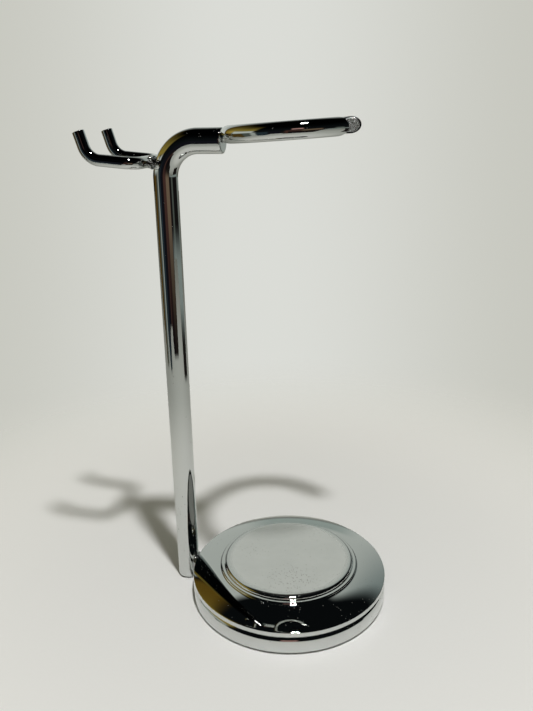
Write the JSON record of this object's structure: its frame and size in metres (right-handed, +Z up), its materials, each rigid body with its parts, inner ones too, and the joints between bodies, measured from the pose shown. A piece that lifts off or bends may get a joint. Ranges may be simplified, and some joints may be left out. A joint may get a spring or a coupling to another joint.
{
  "type": "shaving stand",
  "caption": "Chromed countertop shaving stand: bent rod post on a weighted round base, with an open ring for a brush and a forked rest for a razor.",
  "frame": {"origin": "centre of the base's underside, on the table", "axes": "+Z up along the post, +X from the post towards the brush ring's opening, Y left to right across the ring and fork"},
  "size_m": [0.1016, 0.0716, 0.1688],
  "materials": {
    "chrome_rod": "bright mirror chrome on drawn steel rod",
    "chrome_sheet": "bright mirror chrome on pressed steel, faintly dusty",
    "cast_iron": "rough casting",
    "zinc_steel": "zinc plated",
    "foam_rubber": "matte black foam rubber",
    "braze": "chromed over a pitted braze bead"
  },
  "bodies": {
    "root": {"post": "chrome_rod", "brush_ring": "chrome_rod", "razor_fork": "chrome_rod", "base_lid": "chrome_sheet", "base_tray": "chrome_sheet", "ballast_weight": "cast_iron", "clamp_screw": "zinc_steel", "weld_nut": "zinc_steel", "base_pad": "foam_rubber", "ring_braze": "braze", "fork_braze": "braze", "foot_braze": "braze"}
  },
  "joints": []
}
